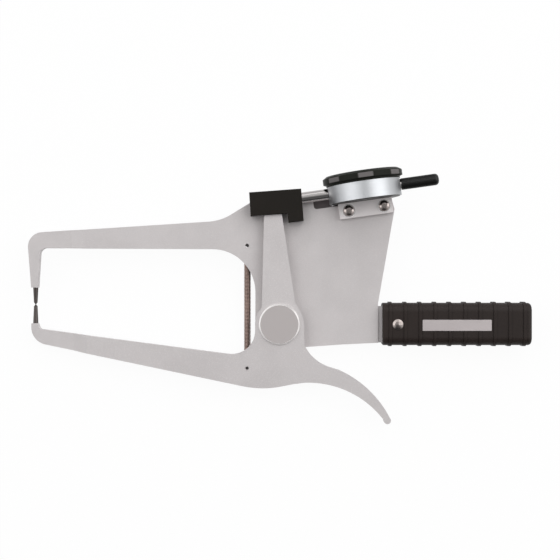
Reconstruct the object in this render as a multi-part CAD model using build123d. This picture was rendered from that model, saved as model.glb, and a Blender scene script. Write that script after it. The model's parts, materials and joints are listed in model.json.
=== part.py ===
from build123d import *
from math import acos, cos, degrees, hypot, pi, radians, sin, sqrt, tan
import os

os.makedirs("parts", exist_ok=True)

# All sizes are in millimetres. The pivot is the origin, X runs along the handle, Y up the plate,
# and Z is 0 on the flat back of the frame and rises toward the front.

# Casting thicknesses and levels
FRAME_THICK = 7.0
WASHER_THICK = 0.35
LEVER_LOW = 7.4
LEVER_TOP = 14.4
JAW_LOW = 3.7
JAW_TOP = 10.7
JAW_MIDDLE = (JAW_LOW + JAW_TOP) / 2
TANG_LOW = 1.0
TANG_TOP = 6.0

# Contact tips
TIP_X = -173.05
TIP_MEET_Y = 14.0
TIP_BALL = 0.75
TIP_BASE = 1.85
TIP_END = 1.3
TIP_SHANK = 1.5
TIP_GAP = 0.1
FIXED_JAW_END = 25.9
MOVING_JAW_END = 0.6

# Pivot
BOSS_RADIUS = 17.1
SHAFT_RADIUS = 5.0
BUSH_RADIUS = 7.0
CAP_RADIUS = 14.4
CAP_THICK = 1.6
RUNNING_FIT = 0.05

# Return spring between the two castings
SPRING_X = -22.75
SPRING_UPPER_PIN_Y = 55.8
SPRING_LOWER_PIN_Y = -31.0
SPRING_Z = 3.0
SPRING_OUTER = 2.5
SPRING_INNER = 1.7
SPRING_PIN = 1.0
PIN_SINK = 1.5
PIN_RECESS = 1.35

# Cover over the spindle's contact
COVER_LOW = 0.3
COVER_TOP = 16.5
COVER_WALL = 1.5
COVER_SCREWS = ((12.9, 75.3), (9.2, 79.9))

# Grip
GRIP_START = 73.2
GRIP_END = 178.7
GRIP_HALF_WIDTH = 15.0
GRIP_DEPTH = 20.0
GRIP_MIDDLE_Z = 3.5
GRIP_CORNER = 6.0
RIB_COUNT = 10
RIB_START = 78.6
RIB_PITCH = 10.55
RIB_WIDTH = 2.0
RIB_HEIGHT = 0.75
GRIP_SCREW = (83.8, -0.2)
GRIP_TOP = GRIP_MIDDLE_Z + GRIP_DEPTH / 2
NAMEPLATE_CENTRE = (125.5, -0.7)
NAMEPLATE_SIZE = (48.7, 7.8)
NAMEPLATE_LOW = 12.7
NAMEPLATE_THICK = 1.2

# Dial gauge: its axis frame has x along the stem, z along the dial normal, y toward the back
GAUGE_TILT = 8.0
GAUGE_CENTRE = (60.0, 95.35, 11.1)
STEM_RADIUS = 4.0
SPINDLE_RADIUS = 2.5
SPINDLE_BORE = SPINDLE_RADIUS + RUNNING_FIT
CASE_RADIUS = 25.8
CASE_RIM_RADIUS = 25.0
CASE_INNER = 23.0
LEDGE_INNER = 22.0
CASE_BOTTOM = -7.45
BACK_RADIUS = 24.4
BACK_BOTTOM = -7.95
BACK_TOP = -5.95
CASE_SHOULDER = 4.6
CASE_RIM_TOP = 8.6
SKIRT_RADIUS = 26.2
SKIRT_TOP = 5.9
BEZEL_RADIUS = 28.2
BEZEL_BOTTOM = 4.7
LOBE_BOTTOM = 6.6
LOBE_TOP = 10.35
BEZEL_TOP = 12.0
BEZEL_TOP_RADIUS = 25.6
BEZEL_FLATS = 7
FLAT_REACH = 27.5
FIRST_FLAT = 271.0
PLATE_LOW = 3.0
PLATE_TOP = 4.0
BRIDGE_LOW = 6.6
BRIDGE_TOP = 7.4
DIAL_SPLIT_RADIUS = 16.0
DIAL_LOW = 8.7
DIAL_THICK = 0.4
HAND_LOW = 9.45
HAND_TOP = 9.7
COUNTER_HAND_LOW = 9.15
COUNTER_HAND_TOP = 9.3
CRYSTAL_RADIUS = 24.75
CRYSTAL_LEDGE = 24.0
CRYSTAL_LOW = 9.9
CRYSTAL_THICK = 1.2
LUG_FRONT = 11.0
LUG_ENDS = (-19.65, 18.5)
LUG_BOTTOM = -18.75
LUG_SCREWS = ((-12.8, -13.4), (12.4, -13.4))
FLANGE_HALF = 17.0
FLANGE_THICK = 1.4
FRAME_UNDER_GAUGE = -8.05
POCKET_BOTTOM = -8.9
FRAME_UNDER_FLANGE = -9.75
SPIGOT_RADIUS = 3.2
STEM_SHOULDER = CASE_RADIUS + 0.05
FLANGE_SCREWS = ((-11.0, 6.6), (11.0, 6.6))
BACK_SCREWS = ((0, 23.1), (0, -23.1))
DUST_CAP_RADIUS = 4.1
DUST_CAP_START = 26.3
DUST_CAP_END = 53.2
DUST_CAP_BORE = 2.9
DUST_CAP_GROOVES = 24

# Spindle and anvil: the anvil face stands at right angles to the stem when the jaws are shut
ANVIL_REACH = 13.0
ANVIL_GAP = 0.03
GAUGE_REACH = GAUGE_CENTRE[0] * cos(radians(GAUGE_TILT)) + GAUGE_CENTRE[1] * sin(radians(GAUGE_TILT))
SPINDLE_TIP = ANVIL_REACH - GAUGE_REACH + ANVIL_GAP
SPINDLE_START = SPINDLE_TIP + 4.0
SPINDLE_END = 40.0
COVER_WALL_AT_STEM = -47.6
GUIDE_PIN_AT = 16.0
GUIDE_PIN_RADIUS = 0.8
PULL_SPRING_Y = 4.2
PULL_POST_AT = -18.5

# Gear train: one turn of the rack pinion is 9.86 mm of spindle and 20 mm between the jaw tips, which
# the small counter hand shows, and the pointer turns ten times as fast
RACK_PITCH = 0.986
RACK_PINION_TEETH = 10
RACK_LINE = 2.0
RACK_ADDENDUM = 0.25
RACK_DEDENDUM = 0.4
RACK_TEETH = 16
TRAIN_MODULE = 0.25
WHEEL_TEETH = 80
PINION_TEETH = 8
TRAIN_ADDENDUM = 0.2
TRAIN_DEDENDUM = 0.3
MESH_SLACK = 0.05
GEAR_LOW = 4.6
GEAR_THICK = 0.6
PINION_HALF = 1.3
ARBOR_RADIUS = 0.6
RACK_PINION_RADIUS = RACK_PITCH * RACK_PINION_TEETH / (2 * pi)
TRAIN_CENTRES = TRAIN_MODULE * (WHEEL_TEETH + PINION_TEETH) / 2 + MESH_SLACK
ARBOR_Y = RACK_LINE + RACK_PINION_RADIUS + MESH_SLACK
ARBOR_X = sqrt(TRAIN_CENTRES**2 - ARBOR_Y**2)
RACK_ARBOR = (-ARBOR_X, -ARBOR_Y)
TAKEUP_ARBOR = (ARBOR_X, ARBOR_Y)
ARBOR_LINE = degrees(acos(ARBOR_X / TRAIN_CENTRES))
HALF_TOOTH = 180 / WHEEL_TEETH


def outline(*marks):
    """A flat face through the marks: a plain corner, a corner with a radius, or a way point of an arc."""

    def rounded(i):
        x, y = marks[i][:2]
        before = marks[i - 1]
        after = marks[(i + 1) % len(marks)]
        back = Vector(before[0] - x, before[1] - y).normalized()
        on = Vector(after[0] - x, after[1] - y).normalized()
        half = acos(back.dot(on)) / 2
        reach = marks[i][2] / tan(half)
        inward = (back + on).normalized()
        middle = inward * (marks[i][2] / sin(half) - marks[i][2])
        corner = Vector(x, y)
        return corner + back * reach, corner + middle, corner + on * reach

    def arrive(i):
        return rounded(i)[0] if len(marks[i]) == 3 else Vector(*marks[i])

    def leave(i):
        return rounded(i)[2] if len(marks[i]) == 3 else Vector(*marks[i])

    def is_way_point(i):
        return len(marks[i]) == 3 and marks[i][2] == "arc"

    edges = []
    for i in range(len(marks)):
        after = (i + 1) % len(marks)
        if is_way_point(i):
            edges.append(ThreePointArc(leave(i - 1), Vector(*marks[i][:2]), arrive(after)))
            continue
        if len(marks[i]) == 3:
            edges.append(ThreePointArc(*rounded(i)))
        if not is_way_point(after) and (arrive(after) - leave(i)).length > 0.001:
            edges.append(Line(leave(i), arrive(after)))
    return make_face(edges)


def slab(face, low, top):
    return Pos(0, 0, low) * extrude(face, top - low)


def rod(x, y, radius, low, top):
    return slab(Pos(x, y) * Circle(radius), low, top)


def ring(outer, inner, low, top):
    return slab(Circle(outer) - Circle(inner), low, top)


def block(x0, x1, y0, y1, z0, z1):
    return Pos((x0 + x1) / 2, (y0 + y1) / 2, (z0 + z1) / 2) * Box(x1 - x0, y1 - y0, z1 - z0)


def along_x(shape, x=0.0, y=0.0, z=0.0):
    """Lay a shape that was built up the Z axis down along the X axis."""
    return Pos(x, y, z) * Rot(0, 90, 0) * shape


def solids(shapes):
    """Several separate solids as one node, for identical fasteners."""
    return Compound(children=[Solid(shape.solid().wrapped) for shape in shapes])


def turned(profile):
    """Turn a closed profile of (radius, height) points about the Z axis."""
    return revolve(Plane.XZ * outline(*profile), Axis.Z)


gauge_location = Plane(
    origin=GAUGE_CENTRE,
    x_dir=(cos(radians(GAUGE_TILT)), sin(radians(GAUGE_TILT)), 0),
    z_dir=(-sin(radians(GAUGE_TILT)), cos(radians(GAUGE_TILT)), 0),
).location


def on_gauge(shape):
    return gauge_location * shape


def beside_gauge(u, v):
    """The X and Y of a point that is u along the stem and v along the dial normal."""
    c = cos(radians(GAUGE_TILT))
    s = sin(radians(GAUGE_TILT))
    return GAUGE_CENTRE[0] + u * c - v * s, GAUGE_CENTRE[1] + u * s + v * c


def stepped(step_start, step_end, low, top):
    """The side view of a casting whose jaw end steps toward the middle plane between the castings."""
    side = outline(
        (-190, JAW_LOW), (step_start, JAW_LOW), (step_end, low), (100, low),
        (100, top), (step_end, top), (step_start, JAW_TOP), (-190, JAW_TOP),
    )
    return extrude(Plane.XZ * side, 150, both=True)


def frame_outline():
    return outline(
        (-175.7, FIXED_JAW_END),
        (-178.76, 64.47, 10.3),
        (-41.7, 73.3, 34.0),
        (-13.6, 90.5, 3.0),
        (14.4, 89.4),
        beside_gauge(-23.6, 0.5),
        beside_gauge(-23.6, FRAME_UNDER_GAUGE),
        beside_gauge(-FLANGE_HALF - 0.5, FRAME_UNDER_GAUGE),
        beside_gauge(-FLANGE_HALF - 0.5, FRAME_UNDER_FLANGE),
        beside_gauge(FLANGE_HALF + 0.5, FRAME_UNDER_FLANGE),
        beside_gauge(FLANGE_HALF + 0.5, FRAME_UNDER_GAUGE),
        (79.6, 89.4, 0.6),
        (81.9, 81.7, 1.5),
        (70.2, 14.9),
        (70.2, -13.4, 0.5),
        (45.9, -14.5),
        (20.4, -16.3),
        (6.0, -BOSS_RADIUS),
        (-BOSS_RADIUS, -BOSS_RADIUS, BOSS_RADIUS),
        (-16.9, 53.2, 31.0),
        (-169.35, 53.9, 4.5),
        (-171.05, FIXED_JAW_END),
    )


def frame_plate():
    body = slab(frame_outline(), -1, 12) & stepped(-147.1, -139.3, 0, FRAME_THICK)
    body += block(66, 78, -13.2, 12.7, TANG_LOW, TANG_TOP)
    body += block(77, 165, -9, 9, TANG_LOW, TANG_TOP)
    pocket = outline(
        beside_gauge(-36.8, 3), (*beside_gauge(-36.8, POCKET_BOTTOM), 2.0),
        beside_gauge(-19, POCKET_BOTTOM), beside_gauge(-19, 3),
    )
    body -= slab(pocket, 2.0, FRAME_THICK + 1)
    body -= on_gauge(rod(0, 0, CASE_RADIUS + 0.35, FRAME_UNDER_GAUGE, 5))
    body -= rod(0, 0, SHAFT_RADIUS + 0.02, -1, 8)
    body -= rod(0, 0, 7.05, -1, 2.0)
    body -= block(SPRING_X - 3.2, SPRING_X + 3.2, 30, 60, -1, SPRING_Z + SPRING_OUTER + 0.1)
    body -= rod(SPRING_X, SPRING_UPPER_PIN_Y, SPRING_PIN + 0.02, -1, 8)
    body -= rod(SPRING_X, SPRING_UPPER_PIN_Y, PIN_RECESS, FRAME_THICK - PIN_SINK, 8)
    body -= tip_hole(FIXED_JAW_END, 1)
    for u, v in LUG_SCREWS:
        body -= rod(*beside_gauge(u, v), 2.02, 1.0, 8)
    for x, y in COVER_SCREWS:
        body -= rod(x, y, 1.3, -1, 8)
        body -= rod(x, y, 2.4, -1, 1.8)
    return body - rod(*GRIP_SCREW, 2.1, -1, 8)


def lever_outline():
    return outline(
        (-175.6, MOVING_JAW_END),
        (-175.6, -12.26, 12.5),
        (-26.3, -43.6), (-11.5, -45.15, "arc"), (-0.9, -44.3),
        (10.0, -42.2),
        (18.1, -41.2), (49.05, -47.6, "arc"), (73.7, -67.6), (76.4, -70.4, "arc"), (78.75, -67.5),
        (63.35, -46.5, "arc"), (41.5, -32.2),
        (35.8, -30.5), (25.2, -24.6, "arc"), (17.9, -14.9),
        (17.5, -3.0), (15.9, 7.2, "arc"), (11.35, 14.7),
        (1.9, 77.0),
        (-0.1, 91.0, 0.8),
        (-6.0, 91.0, 1.5),
        (-6.5, 82.0, 2.0),
        (-7.6, 78.6, 1.5),
        (-10.75, 76.3, 1.0),
        (-12.4, 11.8), (-15.9, 6.3, "arc"), (-BOSS_RADIUS, 0),
        (-BOSS_RADIUS, -23.5, 16.6),
        (-169.9, -3.5, 2.5),
        (-171.3, MOVING_JAW_END),
    )


def lever_casting():
    body = slab(lever_outline(), 2, 16) & stepped(-145.7, -135.8, LEVER_LOW, LEVER_TOP)
    body -= rod(0, 0, BUSH_RADIUS + 0.02, 6, 16)
    body -= rod(0, 0, 11.0, LEVER_TOP - 1.5, 16)
    body -= rod(SPRING_X, SPRING_LOWER_PIN_Y, SPRING_PIN + 0.02, 6, 16)
    body -= rod(SPRING_X, SPRING_LOWER_PIN_Y, PIN_RECESS, LEVER_TOP - PIN_SINK, 16)
    body -= tip_hole(MOVING_JAW_END, -1)
    return body - on_gauge(along_x(Cylinder(1.52, 8), SPINDLE_TIP - 1))


def tip_hole(end_y, up):
    """The bore in a jaw end for a tip's shank; up is 1 for the fixed jaw and -1 for the moving one."""
    bore = Rot(-90 * up, 0, 0) * rod(0, 0, TIP_SHANK + 0.02, -1, 7.1)
    return Pos(TIP_X, end_y, JAW_MIDDLE) * bore


def contact_tip(end_y, up):
    """A tapered tip with a small ball end, its shank pressed into the jaw end."""
    length = abs(TIP_MEET_Y - end_y) - TIP_GAP / 2
    neck = length - TIP_BALL * 1.6
    tip = turned([
        (0, 7.0), (TIP_SHANK, 7.0), (TIP_SHANK, 0), (TIP_BASE, 0), (TIP_END, -neck),
        (0.5, -neck - 0.6), (0, -neck - 0.6),
    ])
    tip += Pos(0, 0, -length + TIP_BALL) * Sphere(TIP_BALL)
    return Pos(TIP_X, end_y, JAW_MIDDLE) * Rot(-90 * up, 0, 0) * tip


def grip_half(front):
    """One half of the ribbed grip, with the tang's pocket and the screw's bore."""
    width = 2 * GRIP_HALF_WIDTH
    section = Plane.YZ * RectangleRounded(width, GRIP_DEPTH, GRIP_CORNER)
    bar = Pos(GRIP_START, 0, GRIP_MIDDLE_Z) * extrude(section, GRIP_END - GRIP_START)
    bar = fillet(bar.faces().sort_by(Axis.X)[-1].edges(), 2.5)
    bar = chamfer(bar.faces().sort_by(Axis.X)[0].edges(), 0.6)
    rib_section = Plane.YZ * RectangleRounded(
        width + 2 * RIB_HEIGHT, GRIP_DEPTH + 2 * RIB_HEIGHT, GRIP_CORNER + RIB_HEIGHT
    )
    for i in range(RIB_COUNT):
        x = RIB_START + i * RIB_PITCH
        bar += Pos(x - RIB_WIDTH / 2, 0, GRIP_MIDDLE_Z) * extrude(rib_section, RIB_WIDTH)
    bar -= block(70, 78.2, -13.4, 12.9, TANG_LOW - 0.05, TANG_TOP + 0.05)
    bar -= block(77, 165.5, -9.2, 9.2, TANG_LOW - 0.05, TANG_TOP + 0.05)
    if front:
        bar -= rod(*GRIP_SCREW, 2.1, 0, 20)
        bar -= rod(*GRIP_SCREW, 4.2, GRIP_TOP, 20)
        x, y = NAMEPLATE_CENTRE
        length, height = NAMEPLATE_SIZE
        bar -= block(
            x - length / 2 - 0.2, x + length / 2 + 0.2, y - height / 2 - 0.2, y + height / 2 + 0.2,
            NAMEPLATE_LOW, 20,
        )
        return bar & block(60, 190, -30, 30, GRIP_MIDDLE_Z, 30)
    bar -= rod(*GRIP_SCREW, 3.05, -10, 10)
    bar -= rod(*GRIP_SCREW, 4.6, -10, -5.0)
    return bar & block(60, 190, -30, 30, -30, GRIP_MIDDLE_Z)


def grip_screw():
    dome = [(0, 15.2), (2.2, 14.9), (3.75, 13.9), (3.75, GRIP_TOP), (1.95, GRIP_TOP), (1.95, -4.4), (0, -4.4)]
    return Pos(*GRIP_SCREW) * turned(dome)


def grip_nut():
    body = rod(*GRIP_SCREW, 4.5, -6.4, -5.0) + rod(*GRIP_SCREW, 3.0, -5.0, 0.9)
    return body - rod(*GRIP_SCREW, 2.0, -4.5, 2)


def nameplate():
    x, y = NAMEPLATE_CENTRE
    plate = RectangleRounded(*NAMEPLATE_SIZE, 0.4)
    return slab(Pos(x, y) * plate, NAMEPLATE_LOW, NAMEPLATE_LOW + NAMEPLATE_THICK)


def pivot_shaft():
    return turned([
        (0, 0.5), (7.0, 0.5), (7.0, 2.0), (SHAFT_RADIUS, 2.0), (SHAFT_RADIUS, 12.95), (4.4, 12.95),
        (4.4, 13.55), (SHAFT_RADIUS, 13.55), (SHAFT_RADIUS, 14.0), (0, 14.0),
    ])


def pivot_retainer():
    return ring(7.0, 4.45, 13.0, 13.5) - block(3, 8, -1.2, 1.2, 12, 14)


def thrust_washer():
    return ring(12.0, SHAFT_RADIUS + RUNNING_FIT, FRAME_THICK, FRAME_THICK + WASHER_THICK)


def pivot_bush():
    return ring(BUSH_RADIUS, SHAFT_RADIUS + RUNNING_FIT, LEVER_LOW, LEVER_TOP - 1.55)


def pivot_cap():
    top = LEVER_TOP + CAP_THICK
    cap = rod(0, 0, CAP_RADIUS, LEVER_TOP, top)
    cap = chamfer(cap.edges().group_by(Axis.Z)[-1], 1.0)
    return cap + ring(10.95, 9.0, LEVER_TOP - 1.4, LEVER_TOP)


def spring_pin(y, low, top):
    return rod(SPRING_X, y, SPRING_PIN, low, top)


def return_spring():
    """The coil as a tube, with a flat hook ring around each pin; the turns are drawn in the scene."""
    hook = 3.2
    length = SPRING_UPPER_PIN_Y - SPRING_LOWER_PIN_Y - 2 * hook
    coil = Rot(90, 0, 0) * ring(SPRING_OUTER, SPRING_INNER, -length / 2, length / 2)
    middle = (SPRING_UPPER_PIN_Y + SPRING_LOWER_PIN_Y) / 2
    spring = Pos(SPRING_X, middle, SPRING_Z) * coil
    for y, side in ((SPRING_UPPER_PIN_Y, -1), (SPRING_LOWER_PIN_Y, 1)):
        spring += Pos(SPRING_X, y) * ring(1.9, SPRING_PIN + 0.06, SPRING_Z - 0.4, SPRING_Z + 0.4)
        ends = sorted((y + side * 1.6, y + side * (hook + 0.6)))
        spring += block(SPRING_X - 2.0, SPRING_X + 2.0, *ends, SPRING_Z - 0.4, SPRING_Z + 0.4)
    return spring


def cover_outline(inset=0.0):
    return outline(
        (-21.24 + inset, 92.94 - inset),
        (15.35 - inset, 95.61 - inset),
        (17.17 - inset, 73.04 - 4 * inset),
        (6.59, 71.77 - 4 * inset),
        (5.96, 77.94 - 4 * inset),
        (-20.19 + inset, 76.33 - 4 * inset),
    )


def spindle_cover():
    cover = slab(cover_outline(), COVER_LOW, COVER_TOP)
    cover = chamfer(cover.faces().sort_by(Axis.Z)[-1].edges(), 0.4)
    cover -= slab(cover_outline(COVER_WALL), COVER_LOW + COVER_WALL, COVER_TOP - COVER_WALL)
    foot = outline((5.96, 77.94), (6.59, 71.77), (17.17, 73.04), (16.6, 80.1), (15.2, 82.6), (5.5, 82.6))
    cover += slab(foot, FRAME_THICK, COVER_TOP - 0.4)
    cover -= slab(frame_outline(), -1, FRAME_THICK)
    cover -= on_gauge(along_x(Cylinder(STEM_RADIUS + 0.02, 12), -46))
    for x, y in COVER_SCREWS:
        cover -= rod(x, y, 1.27, 5, 13)
    return cover


def cover_screws():
    screws = []
    for x, y in COVER_SCREWS:
        head = rod(x, y, 2.3, 0.4, 1.8) - block(x - 2, x + 2, y - 0.3, y + 0.3, 0.3, 1.1)
        screws.append(head + rod(x, y, 1.25, 1.8, 12.5))
    return solids(screws)


def gauge_case():
    case = ring(CASE_RADIUS, CASE_INNER, CASE_BOTTOM, CASE_SHOULDER)
    case += ring(CASE_RIM_RADIUS, CASE_INNER, CASE_SHOULDER, CASE_RIM_TOP)
    case += ring(CASE_INNER + 0.2, LEDGE_INNER, BACK_TOP, PLATE_LOW)
    case -= rod(0, 0, BACK_RADIUS + RUNNING_FIT, CASE_BOTTOM - 1, BACK_TOP)
    for side in (-1, 1):
        case -= along_x(Cylinder(SPIGOT_RADIUS + RUNNING_FIT, 8), side * 24)
    for x, y in BACK_SCREWS:
        case -= rod(x, y, 0.73, BACK_TOP - 1, BACK_TOP + 4)
    return on_gauge(case)


def gauge_back():
    back = rod(0, 0, BACK_RADIUS, BACK_BOTTOM, BACK_TOP)
    for x, y in BACK_SCREWS:
        back -= rod(x, y, 0.75, BACK_BOTTOM - 1, BACK_TOP + 1)
        back -= rod(x, y, 1.15, BACK_BOTTOM - 1, BACK_BOTTOM + 0.8)
    for x, y in FLANGE_SCREWS:
        back -= rod(x, y, 1.02, BACK_BOTTOM - 1, BACK_TOP + 1)
    return on_gauge(back)


def lug_outline():
    left, right = LUG_ENDS
    return outline(
        beside_gauge(left, BACK_BOTTOM), (*beside_gauge(left, LUG_BOTTOM), 0.8),
        (*beside_gauge(right, LUG_BOTTOM), 0.8), beside_gauge(right, BACK_BOTTOM),
    )


def gauge_lug():
    """The angle lug: a flange under the gauge's back and a plate down the front of the frame."""
    lug = slab(lug_outline(), FRAME_THICK, LUG_FRONT)
    lug += on_gauge(block(
        -FLANGE_HALF, FLANGE_HALF, GAUGE_CENTRE[2] - LUG_FRONT, GAUGE_CENTRE[2] - 0.5,
        BACK_BOTTOM - FLANGE_THICK, BACK_BOTTOM,
    ))
    for u, v in LUG_SCREWS:
        lug -= rod(*beside_gauge(u, v), 2.15, 6, 12)
    for x, y in FLANGE_SCREWS:
        lug -= on_gauge(rod(x, y, 1.05, -11, -7))
        lug -= on_gauge(rod(x, y, 1.75, -11, BACK_BOTTOM - FLANGE_THICK + 0.7))
    return lug


def back_screws():
    screws = []
    for x, y in BACK_SCREWS:
        head = rod(x, y, 1.1, BACK_BOTTOM + 0.05, BACK_BOTTOM + 0.8)
        screws.append(on_gauge(head + rod(x, y, 0.7, BACK_BOTTOM + 0.8, BACK_TOP + 3.8)))
    return solids(screws)


def flange_screws():
    low = BACK_BOTTOM - FLANGE_THICK
    screws = []
    for x, y in FLANGE_SCREWS:
        head = rod(x, y, 1.7, low + 0.05, low + 0.7)
        screws.append(on_gauge(head + rod(x, y, 1.0, low + 0.7, BACK_TOP)))
    return solids(screws)


def lug_washers():
    washers = []
    for u, v in LUG_SCREWS:
        washers.append(Pos(*beside_gauge(u, v)) * ring(4.5, 2.2, LUG_FRONT, LUG_FRONT + 0.6))
    return solids(washers)


def lug_screws():
    low = LUG_FRONT + 0.6
    profile = [
        (0, low + 2.5), (2.0, low + 2.4), (3.4, low + 1.6), (4.0, low + 0.5), (4.0, low),
        (2.0, low), (2.0, 1.4), (0, 1.4),
    ]
    screws = []
    for u, v in LUG_SCREWS:
        screw = turned(profile)
        for turn in (0, 90):
            screw -= Rot(0, 0, turn + 20) * block(-2.1, 2.1, -0.4, 0.4, low + 1.1, low + 4)
        screws.append(Pos(*beside_gauge(u, v)) * screw)
    return solids(screws)


def gauge_stem():
    tube = turned([
        (SPINDLE_BORE, COVER_WALL_AT_STEM), (STEM_RADIUS, COVER_WALL_AT_STEM), (STEM_RADIUS, -STEM_SHOULDER),
        (SPIGOT_RADIUS, -STEM_SHOULDER), (SPIGOT_RADIUS, -CASE_INNER), (SPINDLE_BORE, -CASE_INNER),
    ])
    return on_gauge(along_x(tube))


def rear_bush():
    tube = turned([
        (SPINDLE_BORE, CASE_INNER), (SPIGOT_RADIUS, CASE_INNER), (SPIGOT_RADIUS, STEM_SHOULDER),
        (3.7, STEM_SHOULDER), (3.7, DUST_CAP_START), (SPINDLE_BORE, DUST_CAP_START),
    ])
    return on_gauge(along_x(tube))


def rear_dust_cap():
    """The cap over the spindle's rear end, with fine grooves along it."""
    end = DUST_CAP_END
    side = DUST_CAP_RADIUS
    body = turned([
        (DUST_CAP_BORE, DUST_CAP_START), (side - 0.25, DUST_CAP_START), (side, DUST_CAP_START + 0.5),
        (side, end - 2.6), (side - 0.8, end - 0.7, "arc"), (side - 2.6, end),
        (0, end), (0, end - 2.0), (DUST_CAP_BORE, end - 2.0),
    ])
    groove = block(side - 0.22, side + 1, -0.22, 0.22, DUST_CAP_START + 1.2, end - 3.0)
    for i in range(DUST_CAP_GROOVES):
        body -= Rot(0, 0, 360 * i / DUST_CAP_GROOVES) * groove
    return on_gauge(along_x(body))


def movement_plate():
    """The plate that carries the wheels, with the guide block and the spring's post below it."""
    plate = rod(0, 0, CASE_INNER - 0.05, PLATE_LOW, PLATE_TOP)
    plate += block(3.4, 19.2, 6.2, 9.2, -2.4, PLATE_LOW)
    plate -= block(4.8, 17.6, 5, 10, -GUIDE_PIN_RADIUS - RUNNING_FIT, GUIDE_PIN_RADIUS + RUNNING_FIT)
    plate += rod(PULL_POST_AT, PULL_SPRING_Y, 0.7, -1.6, PLATE_LOW)
    for x, y in (RACK_ARBOR, (0, 0), TAKEUP_ARBOR):
        plate -= rod(x, y, ARBOR_RADIUS + RUNNING_FIT, 2, 5)
    return on_gauge(plate)


def movement_bridge():
    bridge = Rot(0, 0, ARBOR_LINE) * block(-14.5, 14.5, -2.6, 2.6, BRIDGE_LOW, BRIDGE_TOP)
    bridge += block(-2.4, 2.4, -16.5, 16.5, BRIDGE_LOW, BRIDGE_TOP)
    for side in (-1, 1):
        bridge += rod(0, side * 14, 1.4, PLATE_TOP, BRIDGE_TOP)
    for x, y in (RACK_ARBOR, (0, 0), TAKEUP_ARBOR):
        bridge -= rod(x, y, ARBOR_RADIUS + RUNNING_FIT, 6, 8)
    return on_gauge(bridge)


def inner_dial():
    dial = rod(0, 0, DIAL_SPLIT_RADIUS - 0.1, DIAL_LOW, DIAL_LOW + DIAL_THICK)
    for side in (-1, 1):
        dial += rod(0, side * 9, 1.0, BRIDGE_TOP, DIAL_LOW)
    for x, y in (RACK_ARBOR, (0, 0)):
        dial -= rod(x, y, ARBOR_RADIUS + 0.3, 8, 10)
    return on_gauge(dial)


def gear_teeth(count, root, pitch, tip, half_root, half_pitch, half_tip, turn):
    """The flat outline of a gear; the half widths are in millimetres and turn places the first tooth."""
    points = []
    for i in range(count):
        middle = radians(turn) + 2 * pi * i / count
        for radius, half in ((root, -half_root), (pitch, -half_pitch), (tip, -half_tip),
                             (tip, half_tip), (pitch, half_pitch), (root, half_root)):
            angle = middle + half / radius
            points.append((radius * cos(angle), radius * sin(angle)))
    return outline(*points)


def train_wheel(turn):
    """A large gear, crossed out to a rim, a hub and eight spokes."""
    pitch = TRAIN_MODULE * WHEEL_TEETH / 2
    root = pitch - TRAIN_DEDENDUM
    tip = pitch + TRAIN_ADDENDUM
    face = gear_teeth(WHEEL_TEETH, root, pitch, tip, 0.26, 0.17, 0.08, turn)
    face -= Circle(pitch - 1.2) - Circle(2.4)
    for i in range(4):
        face += Rot(0, 0, 45 * i) * Rectangle(2 * pitch - 2, 1.1)
    return slab(face, GEAR_LOW, GEAR_LOW + GEAR_THICK)


def train_pinion(turn):
    pitch = TRAIN_MODULE * PINION_TEETH / 2
    root = pitch - TRAIN_DEDENDUM
    tip = pitch + TRAIN_ADDENDUM
    face = gear_teeth(PINION_TEETH, root, pitch, tip, 0.2, 0.16, 0.08, turn)
    return slab(face, GEAR_LOW - 0.2, GEAR_LOW + GEAR_THICK + 0.2)


def rack_wheel():
    """The rack pinion, the first wheel and the small counter hand on one arbor."""
    teeth = gear_teeth(
        RACK_PINION_TEETH, RACK_PINION_RADIUS - RACK_DEDENDUM, RACK_PINION_RADIUS,
        RACK_PINION_RADIUS + RACK_ADDENDUM, 0.30, 0.22, 0.10, 90,
    )
    wheel = rod(0, 0, ARBOR_RADIUS, -PINION_HALF, COUNTER_HAND_TOP)
    wheel += slab(teeth, -PINION_HALF, PINION_HALF)
    wheel += train_wheel(ARBOR_LINE + HALF_TOOTH)
    hand = outline((-1.6, -0.45), (0, -0.6), (3.4, -0.12), (3.4, 0.12), (0, 0.6), (-1.6, 0.45))
    wheel += slab(Rot(0, 0, 180) * hand, COUNTER_HAND_LOW, COUNTER_HAND_TOP)
    return on_gauge(Pos(*RACK_ARBOR) * wheel)


def main_pointer():
    """The centre pinion and the long hand on one arbor."""
    pointer = rod(0, 0, ARBOR_RADIUS, PLATE_LOW + 0.05, HAND_TOP + 0.05)
    pointer += train_pinion(ARBOR_LINE)
    pointer += rod(0, 0, 1.3, HAND_LOW - 0.05, HAND_TOP + 0.05)
    hand = outline((-6.5, -0.9), (0, -0.6), (21.5, -0.12), (21.5, 0.12), (0, 0.6), (-6.5, 0.9))
    pointer += slab(Rot(0, 0, 180) * hand, HAND_LOW, HAND_TOP)
    return on_gauge(pointer)


def takeup_wheel():
    """The wheel that the hairspring loads, so that the train runs without play."""
    wheel = rod(0, 0, ARBOR_RADIUS, PLATE_LOW + 0.05, BRIDGE_TOP - 0.1)
    wheel += train_wheel(ARBOR_LINE + HALF_TOOTH)
    return on_gauge(Pos(*TAKEUP_ARBOR) * wheel)


def hairspring():
    return on_gauge(Pos(*TAKEUP_ARBOR) * ring(4.2, ARBOR_RADIUS + 0.06, 5.75, 6.05))


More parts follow.
